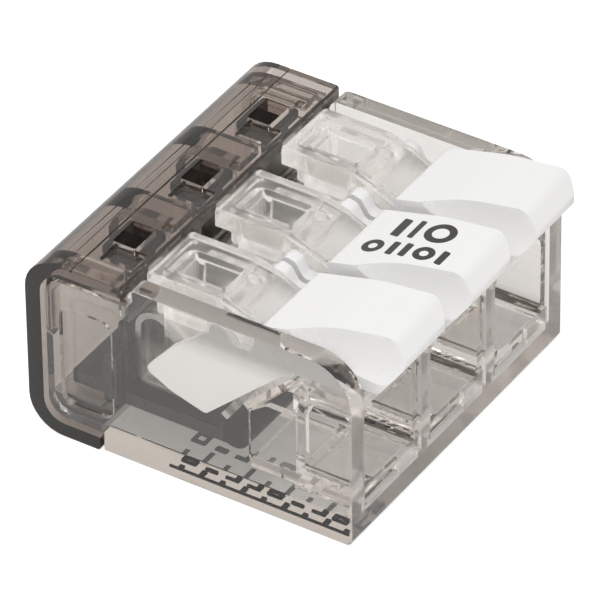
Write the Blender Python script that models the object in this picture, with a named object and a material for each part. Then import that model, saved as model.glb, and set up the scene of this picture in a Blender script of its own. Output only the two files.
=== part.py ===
"""Lever wire connector, three poles: clear housing, smoke rear cover, current bar, clamp springs, levers.

Metres, +Z up. X runs across the poles, the wires enter from -Y, and the origin is at the bottom centre.
Outlines are drawn in the YZ plane in millimetres and extruded along X.
"""

import math

import bmesh
import bpy
from mathutils import Matrix, Vector

MM = 0.001

# Driving dimensions, in millimetres
HOUSING_WIDTH = 18.8
HEIGHT = 10.1
FRONT_Y = -9.0
COVER_BACK_Y = 9.0
POLE_PITCH = 5.8
POLE_COUNT = 3
RIB_THICKNESS = 0.8
FLOOR_THICKNESS = 1.15
COVER_THICKNESS = 0.75
COVER_FRONT_Y = 3.65
COVER_FOOT_Y = 5.15
COVER_SIDE_PROUD = 0.13
FIT_GAP = 0.3
DUCT_FLOOR_Z = 2.6
DUCT_ROOF_Z = 7.3
ISLAND_WIDTH = 3.8
ISLAND_BACK_Y = 3.35
TUB_WIDTH = 2.3
TUB_Y = (-0.8, 2.95)
POCKET_WIDTH = 1.4
POCKET_Y = (-0.35, 2.5)
POCKET_FLOOR_Z = 8.45
DIMPLE_Y = -1.45
DIMPLE_WIDTH = 1.1
DIMPLE_RADIUS = 0.75
CHEEK_THICKNESS = 0.42
THRESHOLD_HEIGHT = 0.25
THRESHOLD_BACK_Y = -6.9
DUCT_BACK_Y = -3.1
WINDOW_Y = (4.3, 7.2)
WINDOW_Z = (1.9, 7.6)
WINDOW_DEPTH = 0.35
WINDOW_CORNER = 0.6
PROBE_SLOT_WIDTH = 1.8
PROBE_SLOT_Y = (4.7, 6.0)
LEVER_WIDTH = 4.84
ARM_THICKNESS = 0.4
PIVOT_Y = 0.9
PIVOT_Z = 6.1
PIN_RADIUS = 0.55
PIN_CLEARANCE = 0.08
PIN_LENGTH = 0.4
BAR_Z = 2.2
BAR_THICKNESS = 0.8
BAR_HALF_LENGTH = 7.7
BAR_BACK_Y = 7.4
BACK_PLATE_WIDTH = 3.0
BACK_PLATE_Y = (4.4, 4.9)
BACK_PLATE_TOP_Z = 6.6
RIDGE_Y = -1.8
RIDGE_Z = 3.0
RIDGE_RADIUS = 0.85
SPRING_WIDTH = 2.6
SPRING_THICKNESS = 0.32
SPRING_WING_WIDTH = 4.6
SPRING_WING_LENGTH = 0.4
SPRING_HEEL_RADIUS = 0.6
SPRING_LOOP_RADIUS = 0.95
SPRING_LOOP_CENTRE = (2.95, 6.6)
LOOP_DEGREES = 126
CLAMP_EDGE = (-1.75, 4.15)

# Values that follow from them
CAVITY = POLE_PITCH - RIB_THICKNESS
HALF_WIDTH = HOUSING_WIDTH / 2
WALL = HALF_WIDTH - (POLE_COUNT / 2 - 0.5) * POLE_PITCH - CAVITY / 2
HOUSING_BACK_Y = COVER_BACK_Y - COVER_THICKNESS - FIT_GAP
SHELF_Z = COVER_THICKNESS + FIT_GAP
TOP_SHELF_Z = HEIGHT - COVER_THICKNESS - FIT_GAP
BAR_TOP_Z = BAR_Z + BAR_THICKNESS
POLES = [(i - (POLE_COUNT - 1) / 2) * POLE_PITCH for i in range(POLE_COUNT)]
RIBS = [(a + b) / 2 for a, b in zip(POLES, POLES[1:])]
ARC_STEPS = 5
OVERLAP = 0.2
CUT_CLEAR = 0.1


def clear_scene():
    for found in list(bpy.data.objects):
        bpy.data.objects.remove(found)


def make_material(name, colour, roughness, metallic=0.0, alpha=1.0):
    material = bpy.data.materials.new(name)
    material.use_nodes = True
    shader = material.node_tree.nodes["Principled BSDF"]
    shader.inputs["Base Color"].default_value = (*colour, 1.0)
    shader.inputs["Roughness"].default_value = roughness
    shader.inputs["Metallic"].default_value = metallic
    shader.inputs["Alpha"].default_value = alpha
    return material


def rounded(corners):
    """Outline through (y, z) or (y, z, radius) corners, with each radius drawn as an arc."""
    points = []
    for i, corner in enumerate(corners):
        here = Vector(corner[:2])
        radius = corner[2] if len(corner) > 2 else 0
        if not radius:
            points.append(here)
            continue
        before = (Vector(corners[i - 1][:2]) - here).normalized()
        after = (Vector(corners[(i + 1) % len(corners)][:2]) - here).normalized()
        half_angle = before.angle(after) / 2
        reach = radius / math.tan(half_angle)
        centre = here + (before + after).normalized() * (radius / math.sin(half_angle))
        start = here + before * reach - centre
        turn = start.angle_signed(here + after * reach - centre)
        for step in range(ARC_STEPS + 1):
            angle = -turn * step / ARC_STEPS
            points.append(centre + Matrix.Rotation(angle, 2) @ start)
    return points


def add_object(name, mesh_maker):
    mesh = bpy.data.meshes.new(name)
    shape = bmesh.new()
    mesh_maker(shape)
    bmesh.ops.recalc_face_normals(shape, faces=shape.faces)
    bmesh.ops.scale(shape, vec=(MM, MM, MM), verts=shape.verts)
    shape.to_mesh(mesh)
    shape.free()
    made = bpy.data.objects.new(name, mesh)
    bpy.context.scene.collection.objects.link(made)
    return made


def prism(name, corners, low_x, high_x):
    """The outline extruded along X."""

    def build(shape):
        ring = [shape.verts.new((low_x, y, z)) for y, z in rounded(corners)]
        face = shape.faces.new(ring)
        made = bmesh.ops.extrude_face_region(shape, geom=[face])["geom"]
        far = [v for v in made if isinstance(v, bmesh.types.BMVert)]
        bmesh.ops.translate(shape, vec=(high_x - low_x, 0, 0), verts=far)

    return add_object(name, build)


def box(name, low, high):
    """A block between two corners."""

    def build(shape):
        bmesh.ops.create_cube(shape, size=1)
        size = [b - a for a, b in zip(low, high)]
        centre = [(a + b) / 2 for a, b in zip(low, high)]
        bmesh.ops.scale(shape, vec=size, verts=shape.verts)
        bmesh.ops.translate(shape, vec=centre, verts=shape.verts)

    return add_object(name, build)


def rod(name, low_x, high_x, y, z, radius, segments=20):
    """A round bar along X."""

    def build(shape):
        bmesh.ops.create_cone(
            shape, cap_ends=True, segments=segments, radius1=radius, radius2=radius, depth=high_x - low_x
        )
        bmesh.ops.rotate(shape, matrix=Matrix.Rotation(math.pi / 2, 3, "Y"), verts=shape.verts)
        bmesh.ops.translate(shape, vec=((low_x + high_x) / 2, y, z), verts=shape.verts)

    return add_object(name, build)


def apply_boolean(target, operation, helpers):
    """Joins or cuts the target with the helpers, which stay in the scene as hidden guides."""
    group = bpy.data.collections.new(f"{target.name}_{operation.lower()}")
    group.hide_render = True
    bpy.context.scene.collection.children.link(group)
    for helper in helpers:
        helper.hide_render = True
        helper.display_type = "WIRE"
        bpy.context.scene.collection.objects.unlink(helper)
        group.objects.link(helper)
    modifier = target.modifiers.new(operation.title(), "BOOLEAN")
    modifier.operation = operation
    modifier.solver = "EXACT"
    modifier.operand_type = "COLLECTION"
    modifier.collection = group


def housing_side_outline():
    """Side wall: rounded front top corner, shelves at the back for the cover's two arms."""
    return [
        (FRONT_Y, 0, 0.4),
        (COVER_FOOT_Y - FIT_GAP, 0),
        (COVER_FOOT_Y - FIT_GAP, SHELF_Z),
        (HOUSING_BACK_Y, SHELF_Z, 1.0),
        (HOUSING_BACK_Y, TOP_SHELF_Z, 1.0),
        (ISLAND_BACK_Y, TOP_SHELF_Z),
        (ISLAND_BACK_Y, HEIGHT, 0.5),
        (FRONT_Y, HEIGHT, 2.3),
    ]


def rib_outline():
    """Partition: as tall as the ducts, lower than the levers, and notched round the current bar."""
    rib_top = 8.7
    notch_front_y = -3.0
    return [
        (FRONT_Y, 0.3),
        (4.7, 0.3),
        (4.7, BAR_Z - FIT_GAP),
        (notch_front_y, BAR_Z - FIT_GAP),
        (notch_front_y, 4.4),
        (-1.0, 4.4),
        (-0.6, BAR_TOP_Z + FIT_GAP),
        (HOUSING_BACK_Y, BAR_TOP_Z + FIT_GAP),
        (HOUSING_BACK_Y, rib_top, 1.0),
        (FRONT_Y, rib_top, 1.2),
    ]


def roof_outline():
    """Duct roof with the sloping guide at its back, just in front of the lever arms."""
    return [
        (FRONT_Y + 0.1, DUCT_ROOF_Z),
        (-5.15, DUCT_ROOF_Z, 0.4),
        (-3.05, 5.2),
        (-2.7, 5.55),
        (-4.85, 7.55),
        (-5.35, 8.05, 0.4),
        (FRONT_Y + 0.1, 8.05, 0.3),
    ]


def island_outline():
    """Island over each pole: flat top, then down under the lever plate to meet the duct roof."""
    return [
        (ISLAND_BACK_Y, 9.1),
        (ISLAND_BACK_Y, HEIGHT, 0.3),
        (-0.6, HEIGHT, 1.5),
        (-3.4, 8.85, 1.5),
        (-5.4, 8.05),
        (-5.2, 7.75),
        (-3.4, 7.75, 0.8),
        (-1.6, 9.1, 0.8),
    ]


def cheek_outline():
    """Bearing cheek under each side of the island, around the lever's pin."""
    return [
        (-0.3, 9.4),
        (-0.3, 6.4),
        (0.2, 5.1, 0.3),
        (1.6, 5.1, 0.3),
        (2.1, 6.4),
        (2.1, 9.4),
    ]


def pole_additions(centre):
    """Roof, island, bearing cheeks and pocket tub of one pole."""
    half_island = ISLAND_WIDTH / 2
    half_tub = TUB_WIDTH / 2
    duct_half = CAVITY / 2 + OVERLAP
    duct_floor_top = DUCT_FLOOR_Z - 0.1
    tub_low = (centre - half_tub, TUB_Y[0], 8.0)
    tub_high = (centre + half_tub, TUB_Y[1], HEIGHT - 0.6)
    duct_floor_low = (centre - duct_half, FRONT_Y + 0.3, 2.0)
    duct_floor_high = (centre + duct_half, DUCT_BACK_Y, duct_floor_top)
    threshold_low = (centre - 1.6, FRONT_Y + 0.4, duct_floor_top - OVERLAP)
    threshold_high = (centre + 1.3, THRESHOLD_BACK_Y, duct_floor_top + THRESHOLD_HEIGHT)
    pieces = [
        prism("roof", roof_outline(), centre - duct_half, centre + duct_half),
        prism("island", island_outline(), centre - half_island, centre + half_island),
        box("tub", tub_low, tub_high),
        box("duct_floor", duct_floor_low, duct_floor_high),
        box("threshold", threshold_low, threshold_high),
    ]
    for side in (-1, 1):
        near = centre + side * half_island
        far = near - side * CHEEK_THICKNESS
        pieces.append(prism("cheek", cheek_outline(), min(near, far), max(near, far)))
    return pieces


def pole_cuts(centre):
    """Blind pocket and thumb dimple in the island, and the bores of its bearing cheeks."""
    bore_half_span = ISLAND_WIDTH / 2 + CUT_CLEAR
    bore_length = CHEEK_THICKNESS + 2 * CUT_CLEAR
    half_pocket = POCKET_WIDTH / 2
    half_dimple = DIMPLE_WIDTH / 2
    above = HEIGHT + 1
    dimple_z = HEIGHT + 0.4
    pocket_low = (centre - half_pocket, POCKET_Y[0], POCKET_FLOOR_Z)
    pocket_high = (centre + half_pocket, POCKET_Y[1], above)
    pocket = box("pocket", pocket_low, pocket_high)
    dimple = rod("dimple", centre - half_dimple, centre + half_dimple, DIMPLE_Y, dimple_z, DIMPLE_RADIUS)
    cuts = [pocket, dimple]
    for side in (-1, 1):
        outer = centre + side * bore_half_span
        inner = centre + side * (bore_half_span - bore_length)
        low, high = min(inner, outer), max(inner, outer)
        cuts.append(rod("bore", low, high, PIVOT_Y, PIVOT_Z, PIN_RADIUS + PIN_CLEARANCE))
    return cuts


def make_housing(material):
    """Walls, floor, front lip, ribs and the islands, joined into one moulding."""
    inner_x = HALF_WIDTH - WALL
    housing = prism("housing", housing_side_outline(), -HALF_WIDTH, -inner_x)
    joined = [prism("wall", housing_side_outline(), inner_x, HALF_WIDTH)]
    joined.append(
        prism(
            "floor",
            [
                (FRONT_Y, 0, 0.4),
                (COVER_FOOT_Y - FIT_GAP, 0),
                (COVER_FOOT_Y - FIT_GAP, FLOOR_THICKNESS),
                (FRONT_Y, FLOOR_THICKNESS),
            ],
            -inner_x - OVERLAP,
            inner_x + OVERLAP,
        )
    )
    lip_low = (-inner_x - OVERLAP, FRONT_Y, FLOOR_THICKNESS / 2)
    lip_high = (inner_x + OVERLAP, FRONT_Y + 0.6, DUCT_FLOOR_Z)
    joined.append(box("lip", lip_low, lip_high))
    for x in RIBS:
        joined.append(prism("rib", rib_outline(), x - RIB_THICKNESS / 2, x + RIB_THICKNESS / 2))
    for centre in POLES:
        joined += pole_additions(centre)
    apply_boolean(housing, "UNION", joined)
    cuts = [cut for centre in POLES for cut in pole_cuts(centre)]
    window = [
        (WINDOW_Y[0], WINDOW_Z[0], WINDOW_CORNER),
        (WINDOW_Y[1], WINDOW_Z[0], WINDOW_CORNER),
        (WINDOW_Y[1], WINDOW_Z[1], WINDOW_CORNER),
        (WINDOW_Y[0], WINDOW_Z[1], WINDOW_CORNER),
    ]
    for side in (-1, 1):
        outer = side * (HALF_WIDTH + CUT_CLEAR)
        inner = side * (HALF_WIDTH - WINDOW_DEPTH)
        cuts.append(prism("window", window, min(inner, outer), max(inner, outer)))
    apply_boolean(housing, "DIFFERENCE", cuts)
    housing.data.materials.append(material)
    return housing


def make_cover(material):
    """C-shaped rear cover with a probe opening over each pole."""
    inside = COVER_THICKNESS
    outline = [
        (COVER_FRONT_Y, HEIGHT - inside),
        (COVER_BACK_Y - inside, HEIGHT - inside, 1.15),
        (COVER_BACK_Y - inside, inside, 1.15),
        (COVER_FOOT_Y, inside),
        (COVER_FOOT_Y, 0, 0.15),
        (COVER_BACK_Y, 0, 1.9),
        (COVER_BACK_Y, HEIGHT, 1.9),
        (COVER_FRONT_Y, HEIGHT, 0.15),
    ]
    half = HALF_WIDTH + COVER_SIDE_PROUD
    cover = prism("rear_cover", outline, -half, half)
    half_slot = PROBE_SLOT_WIDTH / 2
    slots = []
    for x in POLES:
        low = (x - half_slot, PROBE_SLOT_Y[0], HEIGHT - 1)
        high = (x + half_slot, PROBE_SLOT_Y[1], HEIGHT + 1)
        slots.append(box("probe_slot", low, high))
    apply_boolean(cover, "DIFFERENCE", slots)
    cover.data.materials.append(material)
    return cover


def make_bar(material):
    """Current bar common to all poles: a ridge under the clamps and a back plate for each spring."""
    bar = box("busbar", (-BAR_HALF_LENGTH, RIDGE_Y, BAR_Z), (BAR_HALF_LENGTH, BAR_BACK_Y, BAR_TOP_Z))
    half_plate = BACK_PLATE_WIDTH / 2
    joined = [rod("ridge", -BAR_HALF_LENGTH, BAR_HALF_LENGTH, RIDGE_Y, RIDGE_Z, RIDGE_RADIUS, 24)]
    for centre in POLES:
        low = (centre - half_plate, BACK_PLATE_Y[0], BAR_Z + CUT_CLEAR)
        high = (centre + half_plate, BACK_PLATE_Y[1], BACK_PLATE_TOP_Z)
        joined.append(box("back_plate", low, high))
    apply_boolean(bar, "UNION", joined)
    bar.data.materials.append(material)
    return bar


def spring_path():
    """Middle line of the strip: foot on the bar, up at the back, round the top, down to its edge."""
    loop_centre = Vector(SPRING_LOOP_CENTRE)
    foot_z = BAR_TOP_Z + FIT_GAP + SPRING_THICKNESS / 2
    heel_y = loop_centre.x + SPRING_LOOP_RADIUS - SPRING_HEEL_RADIUS
    path = [Vector((0.4, foot_z)), Vector((heel_y, foot_z))]
    for angle in (0.5, 1.0, 1.5):
        turned = Vector((math.sin(angle), 1 - math.cos(angle))) * SPRING_HEEL_RADIUS
        path.append(Vector((heel_y, foot_z)) + turned)
    loop_steps = 8
    for step in range(loop_steps + 1):
        angle = math.radians(LOOP_DEGREES) * step / loop_steps
        path.append(loop_centre + SPRING_LOOP_RADIUS * Vector((math.cos(angle), math.sin(angle))))
    path.append(Vector(CLAMP_EDGE))
    return path


def strip_outline(path, thickness):
    """Closed outline of a strip of even thickness along an open path."""
    left, right = [], []
    for i, point in enumerate(path):
        before = path[max(i - 1, 0)]
        after = path[min(i + 1, len(path) - 1)]
        along = (after - before).normalized()
        across = Vector((-along.y, along.x)) * thickness / 2
        left.append(tuple(point + across))
        right.append(tuple(point - across))
    return left + right[::-1]


def make_spring(index, centre, material):
    """Clamp spring: bent strip, with wings near the clamping edge that the lever arms push."""
    outline = strip_outline(spring_path(), SPRING_THICKNESS)
    spring = prism(f"clamp_spring_{index}", outline, centre - SPRING_WIDTH / 2, centre + SPRING_WIDTH / 2)
    edge, loop_end = Vector(CLAMP_EDGE), spring_path()[-2]
    wing_start = edge + (loop_end - edge).normalized() * SPRING_WING_LENGTH
    wing = strip_outline([wing_start, edge], SPRING_THICKNESS)
    half = SPRING_WING_WIDTH / 2
    apply_boolean(spring, "UNION", [prism("wing", wing, centre - half, centre + half)])
    spring.data.materials.append(material)
    return spring


def lever_plate_outline():
    """Finger plate: gently arched top, round nose, hollow underneath."""
    return [
        (-3.2, 9.85, 0.3),
        (-6.8, 10.8, 9),
        (-10.0, 11.2, 0.7),
        (-10.9, 10.1, 0.5),
        (-9.7, 8.45, 0.5),
        (-8.75, 8.45, 0.3),
        (-8.35, 9.6, 0.5),
        (-6.6, 9.55),
        (-3.5, 9.1, 0.2),
    ]


def lever_arm_outline():
    """Lever arm: kite-shaped cheek round the pivot, horn, notch that clears the cover, side skirt."""
    return [
        (2.85, 5.35, 0.35),
        (1.3, 7.15),
        (-0.9, 8.95),
        (-0.95, 9.5, 0.25),
        (-1.5, 9.5, 0.25),
        (-2.15, 8.35, 0.25),
        (-2.9, 8.35, 0.25),
        (-3.5, 9.5),
        (-6.8, 10.5),
        (-9.3, 10.7),
        (-9.3, 8.55),
        (-8.2, 8.4, 0.3),
        (-5.5, 8.35, 0.6),
        (-4.6, 7.75),
        (-0.55, 4.0, 0.3),
        (1.3, 4.55),
    ]


def make_lever(index, centre, material):
    """Lever: finger plate, two arms and their inward pins. Its origin is on the pivot axis."""
    half = LEVER_WIDTH / 2
    inner = half - ARM_THICKNESS
    inset = 0.001  # keeps the plate's sides off the arms' outer faces, so that the join is clean
    lever = prism(f"lever_{index}", lever_plate_outline(), -half + inset, half - inset)
    joined = []
    for side in (-1, 1):
        ends = sorted((side * inner, side * half))
        joined.append(prism("arm", lever_arm_outline(), *ends))
        pin_ends = sorted((side * (inner - PIN_LENGTH), side * (inner + OVERLAP)))
        joined.append(rod("pin", *pin_ends, PIVOT_Y, PIVOT_Z, PIN_RADIUS))
    pivot = Vector((0, PIVOT_Y, PIVOT_Z)) * MM
    axis_x = centre * MM
    for piece in [lever, *joined]:
        piece.data.transform(Matrix.Translation(-pivot))
        piece.location = pivot + Vector((axis_x, 0, 0))
    apply_boolean(lever, "UNION", joined)
    lever.data.materials.append(material)
    return lever


def main():
    clear_scene()
    clear_plastic = make_material("clear_polycarbonate", (0.80, 0.77, 0.74), 0.08, alpha=0.35)
    smoke_plastic = make_material("smoke_polycarbonate", (0.20, 0.18, 0.16), 0.08, alpha=0.55)
    white_plastic = make_material("white_lever_plastic", (0.93, 0.93, 0.93), 0.25)
    tinned_copper = make_material("tinned_copper", (0.55, 0.53, 0.50), 0.35, metallic=1.0)
    spring_steel = make_material("spring_steel", (0.60, 0.60, 0.60), 0.25, metallic=1.0)
    make_housing(clear_plastic)
    make_cover(smoke_plastic)
    make_bar(tinned_copper)
    for index, centre in enumerate(POLES, start=1):
        make_spring(index, centre, spring_steel)
        make_lever(index, centre, white_plastic)


main()
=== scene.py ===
"""Looks of the three-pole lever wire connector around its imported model. Shapes are in millimetres."""

import math

import bmesh
import bpy
from mathutils import Matrix, Vector


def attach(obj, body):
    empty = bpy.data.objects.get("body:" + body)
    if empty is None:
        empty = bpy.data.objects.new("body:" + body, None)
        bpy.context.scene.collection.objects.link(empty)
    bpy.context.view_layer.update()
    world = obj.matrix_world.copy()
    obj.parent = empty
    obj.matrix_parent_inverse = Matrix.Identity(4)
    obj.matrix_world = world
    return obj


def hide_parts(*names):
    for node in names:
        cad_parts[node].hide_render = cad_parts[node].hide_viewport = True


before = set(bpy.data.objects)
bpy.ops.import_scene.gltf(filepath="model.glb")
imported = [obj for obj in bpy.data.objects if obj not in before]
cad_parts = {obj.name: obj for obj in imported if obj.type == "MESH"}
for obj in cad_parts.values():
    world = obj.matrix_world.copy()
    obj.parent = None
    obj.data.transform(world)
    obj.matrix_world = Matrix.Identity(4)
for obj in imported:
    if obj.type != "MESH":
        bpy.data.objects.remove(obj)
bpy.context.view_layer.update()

MM = 0.001
POLES = (-5.8, 0.0, 5.8)
RIBS = (-2.9, 2.9)
ROUNDING_STEPS = 8
EDGE_STEPS = 2
ROD_SIDES = 40
SHARP_ANGLE = math.radians(35)

HALF_WIDTH = 9.4
WALL = 1.1
RIB = 0.8
FRONT_Y = -9.0
FLOOR_TOP = 1.15
FRONT_BAND = 0.15
CHEEK = (1.33, 1.75)
ISLAND_LOW_Z = 7.7
ISLAND_BACK_Y = 3.3
ISLAND_REACH_X = 8.2

COVER_HALF_WIDTH = 9.53

RAIL_X = (-7.7, 7.7)
RAIL_FRONT_Y = -1.8
RAIL_TOP_Z = 3.0
RIDGE_RADIUS = 0.85

INK_DEPTH = (0.03, 0.06)

LEVER_HALF_WIDTH = 2.42
LEVER_ARM = 0.4
MARKED_ABOVE_Z = 9.75
LEVER_PIVOT = (0.9, 6.1)
PIN_RADIUS = 0.55
PIN_HOLE_RADIUS = 0.63

POLYCARBONATE_IOR = 1.585
ACRYLIC_IOR = 1.49

# Outlines of (y, z) or (y, z, corner radius).
side_wall = [
    (-9.0, 0.0, 0.4), (4.85, 0.0), (4.85, 1.05), (7.95, 1.05, 1.0), (7.95, 9.05, 1.0),
    (3.35, 9.05), (3.35, 10.1, 0.5), (-9.0, 10.1, 2.3),
]
rib_outline = [
    (-9.0, 0.3), (4.7, 0.3), (4.7, 1.9), (-3.0, 1.9), (-3.0, 4.4), (-1.0, 4.4), (-0.6, 3.3),
    (7.6, 3.3), (7.6, 8.4, 1.0), (5.2, 8.4), (4.6, 7.5, 0.3), (-4.2, 7.5, 0.5), (-5.0, 8.7, 0.5),
    (-9.0, 8.7, 1.2),
]
island_outline = [
    (3.35, 9.0), (3.35, 10.1, 0.25), (-0.6, 10.1, 1.5), (-3.4, 8.85, 1.5), (-5.4, 8.05),
    (-5.2, 7.75), (-3.4, 7.75, 0.8), (-1.6, 9.0, 0.8),
]
island_nick_outline = [(-0.7, 9.75), (-0.7, 10.4), (-2.9, 10.4), (-2.9, 9.0, 0.2), (-2.2, 9.35)]
cheek_outline = [(-0.3, 9.4), (-0.3, 6.4), (0.2, 5.1, 0.3), (1.6, 5.1, 0.3), (2.1, 6.4), (2.1, 9.4)]
duct_roof_outline = [
    (-8.9, 7.3), (-5.15, 7.3, 0.4), (-3.05, 5.2), (-2.7, 5.55), (-4.85, 7.55), (-5.35, 8.05, 0.4),
    (-8.9, 8.05, 0.3),
]
neck_outline = [(-3.0, 2.3, 0.2), (-3.0, 5.2, 0.3), (-4.0, 5.9, 0.3), (-5.6, 5.9), (-5.6, 2.3)]
cover_outline = [
    (3.6, 9.35), (8.15, 9.35, 1.15), (8.15, 0.75, 1.15), (5.0, 0.75), (5.0, 0.0, 0.15),
    (9.0, 0.0, 1.9), (9.0, 10.1, 1.9), (3.6, 10.1, 0.15),
]
cover_band_outline = [
    (4.45, 9.5), (4.45, 8.8, 0.15), (7.2, 8.8, 0.4), (7.65, 8.2), (7.65, 5.5, 0.2), (8.3, 5.5), (8.3, 9.5),
]
lever_plate_outline = [
    (-3.2, 9.85, 0.3), (-6.8, 10.8, 9.0), (-10.0, 11.2, 0.7), (-10.9, 10.1, 0.5), (-9.7, 8.45, 0.5),
    (-8.75, 8.45, 0.3), (-8.35, 9.6, 0.5), (-6.6, 9.55), (-3.5, 9.1, 0.2),
]
saddle_outline = [
    (-3.6, 9.5, 0.2), (-3.25, 8.72, 0.35), (-2.2, 8.68, 0.35), (-1.75, 9.42, 0.3), (-1.2, 9.58, 0.3),
    (-0.85, 9.2, 0.3), (-0.9, 8.2, 0.3), (-3.6, 8.0, 0.2),
]
lever_arm_outline = [
    (2.85, 5.35, 0.35), (1.3, 7.15), (-0.9, 8.95), (-0.95, 9.5, 0.25), (-1.5, 9.5, 0.25),
    (-2.15, 8.35, 0.25), (-2.9, 8.35, 0.25), (-3.5, 9.5), (-6.8, 10.5), (-9.3, 10.7), (-9.3, 8.55),
    (-8.2, 8.4, 0.3), (-5.5, 8.35, 0.6), (-4.6, 7.75), (-0.55, 4.0, 0.3), (1.3, 4.55),
]


# Shapes ---------------------------------------------------------------------------------------------------


def corner_angle(corners, index):
    here = Vector(corners[index][:2])
    before = Vector(corners[index - 1][:2]) - here
    after = Vector(corners[(index + 1) % len(corners)][:2]) - here
    return before.angle(after)


def slab(corners, low, high, across="x", edge=0.0):
    """An outline with rounded corners made solid from low to high along one axis, its end edges rounded."""
    places = {
        "x": lambda a, b: (low, a, b),
        "y": lambda a, b: (a, low, b),
        "z": lambda a, b: (a, b, low),
    }
    shape = bmesh.new()
    points = [shape.verts.new(places[across](corner[0], corner[1])) for corner in corners]
    shape.faces.new(points)
    for index, corner in enumerate(corners):
        if len(corner) < 3:
            continue
        reach = corner[2] / math.tan(corner_angle(corners, index) / 2)
        bmesh.ops.bevel(
            shape, geom=[points[index]], offset=reach, offset_type="OFFSET", segments=ROUNDING_STEPS,
            profile=0.5, affect="VERTICES", clamp_overlap=False, material=-1,
        )
    axis = "xyz".index(across)
    grown = bmesh.ops.extrude_face_region(shape, geom=shape.faces[:])
    for item in grown["geom"]:
        if isinstance(item, bmesh.types.BMVert):
            item.co[axis] = high
    bmesh.ops.recalc_face_normals(shape, faces=shape.faces)
    if edge:
        rims = [
            line for line in shape.edges
            if abs(line.verts[0].co[axis] - line.verts[1].co[axis]) < 1e-6
        ]
        bmesh.ops.bevel(
            shape, geom=rims, offset=edge, offset_type="OFFSET", segments=EDGE_STEPS, profile=0.5,
            affect="EDGES", clamp_overlap=True, material=-1,
        )
    return shape


def block(x, y, z, corner=0.0, edge=0.0, across="z"):
    """A box between two x, two y and two z values, its corners rounded across one axis."""
    spans = {"x": (y, z, x), "y": (x, z, y), "z": (x, y, z)}[across]
    (a0, a1), (b0, b1), (low, high) = spans
    corners = [(a0, b0, corner), (a1, b0, corner), (a1, b1, corner), (a0, b1, corner)]
    if not corner:
        corners = [place[:2] for place in corners]
    return slab(corners, low, high, across, edge)


def rod(radius, x, y, z):
    """A round bar along X from x[0] to x[1]."""
    shape = bmesh.new()
    bmesh.ops.create_cone(
        shape, cap_ends=True, segments=ROD_SIDES, radius1=radius, radius2=radius, depth=x[1] - x[0],
    )
    bmesh.ops.rotate(shape, matrix=Matrix.Rotation(math.pi / 2, 3, "Y"), verts=shape.verts)
    bmesh.ops.translate(shape, vec=((x[0] + x[1]) / 2, y, z), verts=shape.verts)
    return shape


def dome(radius, place, height=1.0):
    """A ball, flattened to the given share of its height."""
    shape = bmesh.new()
    bmesh.ops.create_uvsphere(shape, u_segments=32, v_segments=20, radius=radius)
    bmesh.ops.scale(shape, vec=(1, 1, height), verts=shape.verts)
    bmesh.ops.translate(shape, vec=place, verts=shape.verts)
    return shape


def hopper(x, y, top, depth, draft, corner):
    """A rectangular pocket's core, narrower at its floor."""
    shape = block(x, y, (top - depth, top), corner)
    floor_points = [point for point in shape.verts if point.co.z < top - depth / 2]
    middle = Vector(((x[0] + x[1]) / 2, (y[0] + y[1]) / 2, 0))
    ratio = (1 - 2 * draft / (x[1] - x[0]), 1 - 2 * draft / (y[1] - y[0]), 1)
    bmesh.ops.scale(shape, vec=ratio, space=Matrix.Translation(-middle), verts=floor_points)
    return shape


def loose_object(name, shape):
    mesh = bpy.data.meshes.new(name)
    shape.to_mesh(mesh)
    shape.free()
    made = bpy.data.objects.new(name, mesh)
    bpy.context.scene.collection.objects.link(made)
    return made


def settle(made):
    """Applies the modifiers of an object to its mesh."""
    bpy.context.view_layer.update()
    evaluated = made.evaluated_get(bpy.context.evaluated_depsgraph_get())
    mesh = bpy.data.meshes.new_from_object(evaluated)
    made.modifiers.clear()
    made.data = mesh


def combine(made, operation, shapes):
    """Joins, keeps or cuts an object's mesh by other shapes, which are used up."""
    group = bpy.data.collections.new("helpers")
    bpy.context.scene.collection.children.link(group)
    helpers = [loose_object("helper", shape) for shape in shapes]
    for helper in helpers:
        bpy.context.scene.collection.objects.unlink(helper)
        group.objects.link(helper)
    modifier = made.modifiers.new(operation, "BOOLEAN")
    modifier.operation = operation
    modifier.operand_type = "COLLECTION"
    modifier.collection = group
    modifier.solver = "EXACT"
    settle(made)
    for helper in helpers:
        bpy.data.objects.remove(helper)
    bpy.data.collections.remove(group)


def moulding(name, body, added=(), cut=(), within=(), softened=0.0, steps=EDGE_STEPS):
    """One closed body: a first shape kept within others, shapes added, shapes cut, edges softened."""
    made = loose_object(name, body)
    if within:
        combine(made, "INTERSECT", within)
    if added:
        combine(made, "UNION", added)
    if cut:
        combine(made, "DIFFERENCE", cut)
    made.data.transform(Matrix.Scale(MM, 4))
    finish_edges(made, softened, steps)
    return made


def finish_edges(made, softened, steps):
    """Rounds the sharp edges and keeps the flat faces flat in shading."""
    for face in made.data.polygons:
        face.use_smooth = True
    if softened:
        bevel = made.modifiers.new("softened", "BEVEL")
        bevel.width = softened * MM
        bevel.segments = steps
        bevel.limit_method = "ANGLE"
        bevel.angle_limit = SHARP_ANGLE
        bevel.miter_outer = "MITER_ARC"
        bevel.use_clamp_overlap = True
    made.data.set_sharp_from_angle(angle=SHARP_ANGLE)
    weighted = made.modifiers.new("flat_faces", "WEIGHTED_NORMAL")
    weighted.keep_sharp = not softened


# Shader maths ---------------------------------------------------------------------------------------------


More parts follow.
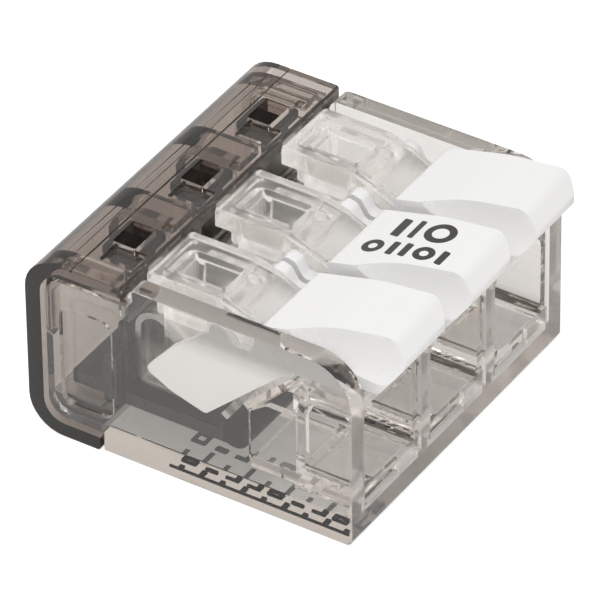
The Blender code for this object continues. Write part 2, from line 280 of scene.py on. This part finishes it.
class Value:
    """A socket whose arithmetic adds Math nodes."""

    def __init__(self, board, socket):
        self.board = board
        self.socket = socket

    def math(self, operation, *others):
        return self.board.add("ShaderNodeMath", {"operation": operation}, self, *others)

    def __add__(self, other):
        return self.math("ADD", other)

    __radd__ = __add__

    def __sub__(self, other):
        return self.math("SUBTRACT", other)

    def __rsub__(self, other):
        return (self * -1) + other

    def __mul__(self, other):
        return self.math("MULTIPLY", other)

    __rmul__ = __mul__


class Board:
    """A material's node tree, with its Principled shader."""

    def __init__(self, name):
        self.material = bpy.data.materials.new(name)
        self.material.use_nodes = True
        self.tree = self.material.node_tree
        self.shader = self.tree.nodes["Principled BSDF"]
        self.output = self.tree.nodes["Material Output"]

    def plug(self, socket, value):
        if isinstance(value, Value):
            self.tree.links.new(value.socket, socket)
        else:
            socket.default_value = value

    def add(self, kind, settings, *values, output=0, **named):
        node = self.tree.nodes.new(kind)
        for name, setting in settings.items():
            setattr(node, name, setting)
        for socket, value in zip(node.inputs, values):
            self.plug(socket, value)
        for name, value in named.items():
            self.plug(node.inputs[name.replace("_", " ")], value)
        return Value(self, node.outputs[output])

    def set(self, **named):
        for name, value in named.items():
            self.plug(self.shader.inputs[name.replace("_", " ")], value)

    def place(self):
        return self.add("ShaderNodeTexCoord", {}, output="Object")

    def axes(self):
        """X, Y and Z in millimetres."""
        place = self.place()
        split = self.tree.nodes.new("ShaderNodeSeparateXYZ")
        self.plug(split.inputs[0], place)
        return [Value(self, socket) * (1 / MM) for socket in split.outputs]

    def noise(self, scale, detail=3.0, stretch=(1, 1, 1)):
        spot = self.add("ShaderNodeMapping", {}, self.place(), Scale=[s / MM for s in stretch])
        return self.add("ShaderNodeTexNoise", {}, Vector=spot, Scale=scale, Detail=detail)

    def bump(self, height, strength, distance):
        made = self.add("ShaderNodeBump", {}, Strength=strength, Distance=distance * MM, Height=height)
        self.set(Normal=made)

    def ramp(self, factor, low, high, start=0.3, end=0.7):
        return self.add(
            "ShaderNodeMapRange", {}, Value=factor, From_Min=start, From_Max=end, To_Min=low, To_Max=high
        )

    def blend(self, factor, first, second):
        node = self.tree.nodes.new("ShaderNodeMix")
        node.data_type = "RGBA"
        self.plug(node.inputs[0], factor)
        self.plug(node.inputs[6], first if isinstance(first, Value) else (*first, 1.0))
        self.plug(node.inputs[7], second if isinstance(second, Value) else (*second, 1.0))
        return Value(self, node.outputs[2])

    def absorb(self, colour, density):
        volume = self.add("ShaderNodeVolumeAbsorption", {}, Color=(*colour, 1.0), Density=density)
        self.tree.links.new(volume.socket, self.output.inputs["Volume"])


def satin_places(board):
    """One on the islands' tops and the front face, which the mould leaves satin, nought elsewhere."""
    x, y, z = board.axes()
    on_island = z.math("GREATER_THAN", ISLAND_LOW_Z) * y.math("LESS_THAN", ISLAND_BACK_Y)
    between_walls = x.math("ABSOLUTE").math("LESS_THAN", ISLAND_REACH_X)
    at_front = y.math("LESS_THAN", FRONT_Y + FRONT_BAND)
    return (on_island * between_walls).math("MAXIMUM", at_front)


def clear_plastic(name, tint, passed, density, painted_glow, satin_painted_glow=None):
    """Polished see-through moulding: faint flow waves, a little painted glow that lightens it, and a tint
    that deepens with depth.
    """
    board = Board(name)
    board.set(Base_Color=(*tint, 1.0), IOR=POLYCARBONATE_IOR, Transmission_Weight=1.0)
    roughness = board.ramp(board.noise(0.35), 0.0, 0.05)
    # Painted light: the emission is a faint glow on plastic that is no lamp, stronger on the satin places,
    # to lighten the plastic.
    painted_glow_colour = (*painted_glow, 1.0)
    if satin_painted_glow:
        satin = satin_places(board)
        roughness += satin * 0.2
        painted_glow_colour = board.blend(satin, painted_glow, satin_painted_glow)
    board.set(Roughness=roughness, Emission_Color=painted_glow_colour, Emission_Strength=1.0)
    board.bump(board.noise(0.3, 2.0, (1, 0.6, 1)), 0.25, 0.03)
    board.absorb(passed, density)
    return board.material


def white_plastic(name, printed=False):
    """Glossy white moulding, with a painted glow and a painted lighter base colour low on the arms so that
    they stay white behind the clear wall.
    """
    board = Board(name)
    soft = board.noise(0.15, 2.0)
    z = board.axes()[2]
    plate = board.blend(soft, (0.795, 0.793, 0.79), (0.82, 0.818, 0.815))
    # Painted light: the arms below the plate get a lighter base colour than the plate, for the light they
    # lose behind the clear wall.
    colour = board.blend(board.ramp(z, 0.0, 1.0, 7.9, 8.5), (0.96, 0.955, 0.95), plate)
    # Painted light: an emission glow low on the arms, which are no lamp.
    glow = board.blend(board.ramp(z, 0.0, 1.0, 7.2, 8.4), (0.28, 0.276, 0.27), (0.0, 0.0, 0.0))
    board.set(Emission_Color=glow, Emission_Strength=1.0)
    if printed:
        mark = printed_marks(board)
        colour = board.blend(mark, colour, (0.035, 0.032, 0.03))
    board.set(Base_Color=colour, IOR=ACRYLIC_IOR)
    board.set(Roughness=board.ramp(board.noise(1.2), 0.24, 0.36))
    board.bump(board.noise(6.0, 2.0), 0.04, 0.002)
    return board.material


def bar_mark(x, y, centre, half, corner, slant=0.0):
    """A rounded bar: one inside its outline, nought outside."""
    across = (x - centre[0] - (y - centre[1]) * slant).math("ABSOLUTE") - (half[0] - corner)
    along = (y - centre[1]).math("ABSOLUTE") - (half[1] - corner)
    outside_x = across.math("MAXIMUM", 0.0)
    outside_y = along.math("MAXIMUM", 0.0)
    distance = (outside_x * outside_x + outside_y * outside_y).math("SQRT")
    return distance.math("LESS_THAN", corner)


def ring_mark(x, y, centre, outer, inner):
    """A ring: one between its two radii, nought elsewhere."""
    reach = ((x - centre[0]) * (x - centre[0]) + (y - centre[1]) * (y - centre[1])).math("SQRT")
    return reach.math("LESS_THAN", outer) * reach.math("GREATER_THAN", inner)


def printed_marks(board):
    """Generic wire-gauge marks on the top of a lever."""
    x, y, z = board.axes()
    marks = [
        bar_mark(x, y, (1.1, -5.2), (0.75, 0.26), 0.1, 0.25),
        bar_mark(x, y, (1.1, -6.05), (0.75, 0.17), 0.1, 0.25),
        ring_mark(x, y, (1.1, -7.35), 0.8, 0.42),
        ring_mark(x, y, (-0.65, -4.7), 0.55, 0.22),
        bar_mark(x, y, (-0.65, -5.8), (0.55, 0.2), 0.1, 0.2),
        bar_mark(x, y, (-0.65, -6.5), (0.55, 0.2), 0.1, 0.2),
        ring_mark(x, y, (-0.65, -7.5), 0.55, 0.22),
        bar_mark(x, y, (-0.65, -8.5), (0.55, 0.2), 0.1, 0.2),
    ]
    found = marks[0]
    for mark in marks[1:]:
        found = found.math("MAXIMUM", mark)
    return found * z.math("GREATER_THAN", MARKED_ABOVE_Z)


def metal_painted_light_and_shade():
    """Tinned copper, its colour painted dark with shade below, painted light on top and painted near black
    with shade at the front ridge.
    """
    board = Board("tinned_copper")
    speckle = board.noise(9.0, 5.0)
    streaks = board.noise(0.9, 4.0, (0.15, 2, 2))
    # Painted light and shade: real tinned copper is bright all over; here it is painted dark, painted
    # lighter on top and painted near black at the front ridge.
    base = board.blend(streaks, (0.02, 0.018, 0.016), (0.07, 0.065, 0.06))
    x, y, z = board.axes()
    painted_top_light = board.blend(streaks, (0.3, 0.29, 0.28), (0.5, 0.49, 0.47))
    painted_light_mask = board.ramp(z, 0.0, 1.0, 3.1, 3.4) * x.math("GREATER_THAN", -7.05) * z.math("LESS_THAN", 8.0)
    base = board.blend(painted_light_mask, base, painted_top_light)
    # Painted shade: the front ridge is painted near black.
    with_painted_ridge_shade = board.blend(y.math("LESS_THAN", -1.15), base, (0.008, 0.007, 0.006))
    board.set(Base_Color=board.blend(board.ramp(speckle, 0.0, 1.0, 0.62, 0.8), with_painted_ridge_shade, (0.3, 0.29, 0.27)))
    board.set(Metallic=1.0, Roughness=board.ramp(speckle, 0.28, 0.5))
    board.bump(speckle, 0.25, 0.02)
    return board.material


def spring_steel():
    """Rolled strip, its grain along the bend."""
    board = Board("spring_steel")
    grain = board.noise(1.1, 4.0, (2.5, 0.12, 0.12))
    board.set(Base_Color=board.blend(board.ramp(grain, 0.0, 1.0), (0.3, 0.29, 0.28), (0.8, 0.79, 0.77)))
    board.set(Metallic=1.0, Roughness=board.ramp(grain, 0.2, 0.38))
    board.bump(grain, 0.2, 0.02)
    return board.material


def ink():
    board = Board("ink")
    board.set(Base_Color=board.blend(board.noise(3.0), (0.012, 0.011, 0.01), (0.03, 0.028, 0.026)))
    board.set(Roughness=0.6)
    return board.material


# Pieces ---------------------------------------------------------------------------------------------------


def pole_shapes(x):
    """What the clear housing has in each pole: (added, cut)."""
    added = [
        slab(island_outline, x - 1.9, x + 1.9, edge=0.12),
        block((x - 1.35, x + 1.35), (-0.95, 3.0), (7.95, 9.6), 0.5),
        slab(cheek_outline, x - CHEEK[1], x - CHEEK[0]),
        slab(cheek_outline, x + CHEEK[0], x + CHEEK[1]),
        slab(duct_roof_outline, x - 2.6, x + 2.6),
        block((x - 2.6, x + 2.6), (-8.7, -3.1), (2.0, 2.5)),
        block((x - 1.6, x + 1.3), (-8.6, -6.9), (2.4, 2.85), 0.2, 0.06),
        block((x + 0.5, x + 2.3), (-9.0, -8.45), (1.2, 2.75), edge=0.08),
        dome(0.42, (x + 0.5, -1.05, 9.72), 0.75),
    ]
    cut = [
        hopper((x - 1.0, x + 0.95), (-0.45, 2.45), 10.4, 2.0, 0.28, 0.15),
        block((x - 1.35, x + 1.35), (-0.85, 2.85), (9.9, 10.4), 0.35),
        rod(PIN_HOLE_RADIUS, (x - 2.4, x - 1.25), *LEVER_PIVOT),
        rod(PIN_HOLE_RADIUS, (x + 1.25, x + 2.4), *LEVER_PIVOT),
        slab(island_nick_outline, x - 1.62, x - 1.3),
    ]
    return added, cut


def sleeve(x):
    """The rounded mouth that leads a wire in, as (added, cut)."""
    outside = block((x - 2.55, x + 2.55), (-8.75, -5.5), (1.6, 7.6), 0.3, across="y")
    inside = block((x - 2.1, x + 2.1), (-9.6, -6.0), (2.5, 7.15), 0.8, across="y")
    bore = block((x - 1.75, x + 1.75), (-6.5, -5.0), (2.75, 6.7), 0.9, across="y")
    return outside, [inside, bore]


def make_housing(finish):
    """The clear case: walls, ribs, floor and each pole's duct, island and cheeks."""
    left_wall = slab(side_wall, -HALF_WIDTH, -HALF_WIDTH + WALL)
    added = [
        slab(side_wall, HALF_WIDTH - WALL, HALF_WIDTH),
        slab([(FRONT_Y, 0.0, 0.4), (4.85, 0.0), (4.85, FLOOR_TOP), (FRONT_Y, FLOOR_TOP)], -9.3, 9.3),
        block((-9.3, 9.3), (-9.0, -8.4), (0.6, 1.7)),
        block((-9.4, -8.3), (-9.0, -8.35), (1.0, 2.9), edge=0.05),
        slab(neck_outline, -8.4, -7.95),
        slab(neck_outline, 7.95, 8.4),
    ]
    for x in RIBS:
        added.append(slab(rib_outline, x - RIB / 2, x + RIB / 2))
    cut = [
        block((-9.8, -9.1), (4.3, 7.2), (1.9, 7.6), 0.6, across="x"),
        block((9.1, 9.8), (4.3, 7.2), (1.9, 7.6), 0.6, across="x"),
    ]
    for x in POLES:
        pole_added, pole_cut = pole_shapes(x)
        outside, mouth = sleeve(x)
        added += [*pole_added, outside]
        cut += pole_cut + mouth
    housing = moulding("clear_housing", left_wall, added, cut, softened=0.09)
    housing.data.materials.append(finish)
    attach(housing, "housing_body")
    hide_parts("housing")


def make_cover(finish):
    """The smoke cap round the back, with a probe hole and a recessed window over each pole."""
    shell = slab(cover_outline, -COVER_HALF_WIDTH, COVER_HALF_WIDTH)
    added = [block((-8.2, 8.2), (5.4, 8.4), (0.4, 1.85), 0.2, across="x")]
    cut = [block((-9.6, 9.6), (6.32, 6.38), (9.95, 10.3))]
    for x in (-8.7, -2.9, 2.9, 8.7):
        added.append(slab(cover_band_outline, max(x - 0.85, -9.0), min(x + 0.85, 9.0), edge=0.1))
    for x in POLES:
        cut.append(block((x - 0.75, x + 1.05), (4.7, 6.0), (9.0, 10.4), 0.1))
        cut.append(block((x - 2.25, x - 0.85), (3.95, 5.75), (9.8, 10.4), 0.08))
        cut.append(block((x + 1.3, x + 1.75), (4.2, 4.6), (9.9, 10.4)))
        for y in (6.9, 7.3):
            cut.append(block((x - 2.35, x + 1.75), (y, y + 0.07), (10.06, 10.4)))
    cover = moulding("smoke_cover", shell, added, cut, softened=0.07)
    cover.data.materials.append(finish)
    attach(cover, "housing_body")
    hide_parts("rear_cover")


def make_rail(finish):
    """Copper rail with a ridge under the clamps, and a plate and a contact tab behind each spring."""
    base = block(RAIL_X, (RAIL_FRONT_Y, 7.4), (2.2, RAIL_TOP_Z), edge=0.08)
    added = [
        rod(RIDGE_RADIUS, RAIL_X, RAIL_FRONT_Y, RAIL_TOP_Z),
        block((-8.2, -7.1), (4.45, 5.3), (2.3, 5.2), edge=0.08),
    ]
    for x in POLES:
        added.append(block((x - 1.5, x + 1.5), (4.4, 4.9), (2.6, 6.6), edge=0.08))
        added.append(block((x - 0.9, x + 0.9), (4.7, 5.1), (6.0, 8.9), edge=0.08))
        added.append(block((x - 0.6, x + 1.95), (4.7, 6.8), (8.5, 8.95), 0.2, 0.08))
    rail = moulding("contact_rail", base, added, softened=0.06)
    rail.data.materials.append(finish)
    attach(rail, "housing_body")
    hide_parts("busbar")


def make_lever(number, x, finish):
    """Finger plate with a flute, two arms and their pins, and a saddle over each arm's root."""
    half = LEVER_HALF_WIDTH
    plate = slab(lever_plate_outline, x - half, x + half)
    plan = slab(
        [(x - half, -2), (x - half, -10.85, 1.3), (x, -11.0), (x + half, -10.85, 1.3), (x + half, -2)],
        6, 12, across="z",
    )
    arms = []
    for side in (-1, 1):
        inner = x + side * (half - LEVER_ARM)
        outer = x + side * half
        arms.append(slab(lever_arm_outline, min(inner, outer), max(inner, outer)))
        pin_ends = sorted((x + side * (half - 0.1), x + side * (half - 0.8)))
        arms.append(rod(PIN_RADIUS, pin_ends, *LEVER_PIVOT))
        over_rib = 0.33 if abs(outer) < 8 else 0.03
        saddle_ends = sorted((inner + side * 0.02, outer + side * over_rib))
        arms.append(slab(saddle_outline, *saddle_ends, edge=0.12))
    flute = bmesh.new()
    bmesh.ops.create_uvsphere(flute, u_segments=64, v_segments=40, radius=1)
    bmesh.ops.scale(flute, vec=(2.5, 8.5, 3.2), verts=flute.verts)
    bmesh.ops.translate(flute, vec=(x - 3.93, -10.5, 11.6), verts=flute.verts)
    lever = moulding(
        f"white_lever_{number}", plate, arms, [flute], [plan], softened=0.16, steps=3
    )
    lever.data.materials.append(finish)
    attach(lever, f"lever_body_{number}")
    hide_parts(f"lever_{number}")


def dress(node_name, finish):
    """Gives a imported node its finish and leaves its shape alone."""
    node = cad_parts[node_name]
    node.data.materials.clear()
    node.data.materials.append(finish)


def make_underside_marks(finish):
    """Generic gauge scale under the floor: ticks, bars and squares of ink sunk into the plastic."""
    first = block((-8.1, -7.9), (-8.4, 1.6), INK_DEPTH)
    added = []
    cut = []
    for step in range(9):
        y = -8.3 + step * 1.15
        reach = 1.0 if step % 2 else 0.6
        added.append(block((-8.05, -8.0 + reach), (y, y + 0.26), INK_DEPTH))
    for step, kind in enumerate("sbqsbbqs"):
        y = -7.9 + step * 1.2
        if kind == "b":
            added.append(block((-6.8, -5.9), (y, y + 0.28), INK_DEPTH))
            added.append(block((-6.8, -6.5), (y, y + 0.75), INK_DEPTH))
        elif kind == "q":
            added.append(block((-6.8, -6.4), (y, y + 0.7), INK_DEPTH, 0.1))
        else:
            added.append(block((-6.8, -5.9), (y, y + 0.85), INK_DEPTH, 0.12))
            cut.append(block((-6.5, -6.2), (y + 0.25, y + 0.6), (0.0, 0.1)))
    marks = moulding("gauge_scale", first, added, cut)
    marks.data.materials.append(finish)
    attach(marks, "housing_body")


# Room -----------------------------------------------------------------------------------------------------


def make_camera():
    """Long lens from the left front corner, above."""
    azimuth, elevation, roll = (math.radians(angle) for angle in (-56.99, 37.274, -0.808))
    distance = 0.351193
    target = Vector((0, 0, 0.0045))
    level = math.cos(elevation)
    back = Vector((math.sin(azimuth) * level, -math.cos(azimuth) * level, math.sin(elevation)))
    right = Vector((math.cos(azimuth), math.sin(azimuth), 0))
    up = back.cross(right)
    turned_right = right * math.cos(roll) + up * math.sin(roll)
    turned_up = up * math.cos(roll) - right * math.sin(roll)
    camera_data = bpy.data.cameras.new("camera")
    camera_data.lens = 443.5
    camera_data.sensor_width = 36
    camera_data.shift_x = 0.00527
    camera_data.shift_y = 0.00706
    camera_data.clip_start = 0.01
    camera_data.clip_end = 20
    camera = bpy.data.objects.new("camera", camera_data)
    turn = Matrix((turned_right, turned_up, back)).transposed().to_4x4()
    camera.matrix_world = Matrix.Translation(target + back * distance) @ turn
    bpy.context.scene.collection.objects.link(camera)
    bpy.context.scene.camera = camera


def make_floor():
    shape = bmesh.new()
    bmesh.ops.create_grid(shape, x_segments=1, y_segments=1, size=3.0)
    bmesh.ops.translate(shape, vec=(0, 0, -0.00005), verts=shape.verts)
    floor = loose_object("floor", shape)
    board = Board("pale_floor")
    seen = board.add("ShaderNodeLightPath", {}, output="Is Camera Ray")
    board.set(Base_Color=(0.55, 0.547, 0.543, 1), Roughness=0.9)
    glow = board.blend(seen, (0.25, 0.246, 0.24), (0.7, 0.7, 0.7))
    board.set(Emission_Color=glow, Emission_Strength=1.0)
    floor.data.materials.append(board.material)


def make_light(name, place, size, power, target=(0, 0, 0.005)):
    light_data = bpy.data.lights.new(name, "AREA")
    light_data.shape = "RECTANGLE"
    light_data.size, light_data.size_y = size
    light_data.energy = power
    light = bpy.data.objects.new(name, light_data)
    light.location = place
    light.rotation_euler = (Vector(target) - Vector(place)).to_track_quat("-Z", "Y").to_euler()
    bpy.context.scene.collection.objects.link(light)


def make_room():
    scene = bpy.context.scene
    world = bpy.data.worlds.new("studio")
    world.use_nodes = True
    world.node_tree.nodes["Background"].inputs["Color"].default_value = (0.66, 0.655, 0.65, 1)
    scene.world = world
    make_floor()
    make_light("softbox", (-0.12, -0.1, 0.32), (0.24, 0.24), 0.6)
    make_light("back_light", (0.1, 0.35, 0.25), (0.25, 0.12), 0.3)
    scene.view_settings.view_transform = "Standard"
    scene.cycles.max_bounces = 32
    scene.cycles.transmission_bounces = 24
    scene.cycles.glossy_bounces = 20
    scene.cycles.transparent_max_bounces = 16


make_camera()
make_room()
# The last colours given to each clear plastic are a painted glow: emission that lightens it.
clear = clear_plastic(
    "clear_polycarbonate", tint=(0.988, 0.978, 0.966), passed=(0.45, 0.22, 0.0), density=19,
    painted_glow=(0.005, 0.0048, 0.0046), satin_painted_glow=(0.05, 0.0485, 0.047),
)
smoke = clear_plastic(
    "smoke_polycarbonate", tint=(0.885, 0.85, 0.815), passed=(0.2, 0.07, 0.0), density=540,
    painted_glow=(0.008, 0.0073, 0.0066),
)
white = white_plastic("white_plastic")
white_marked = white_plastic("white_plastic_marked", printed=True)
metal = metal_painted_light_and_shade()
steel = spring_steel()
make_housing(clear)
make_cover(smoke)
make_rail(metal)
for pole, x in enumerate(POLES, 1):
    make_lever(pole, x, white_marked if pole == 2 else white)
    dress(f"clamp_spring_{pole}", steel)
make_underside_marks(ink())
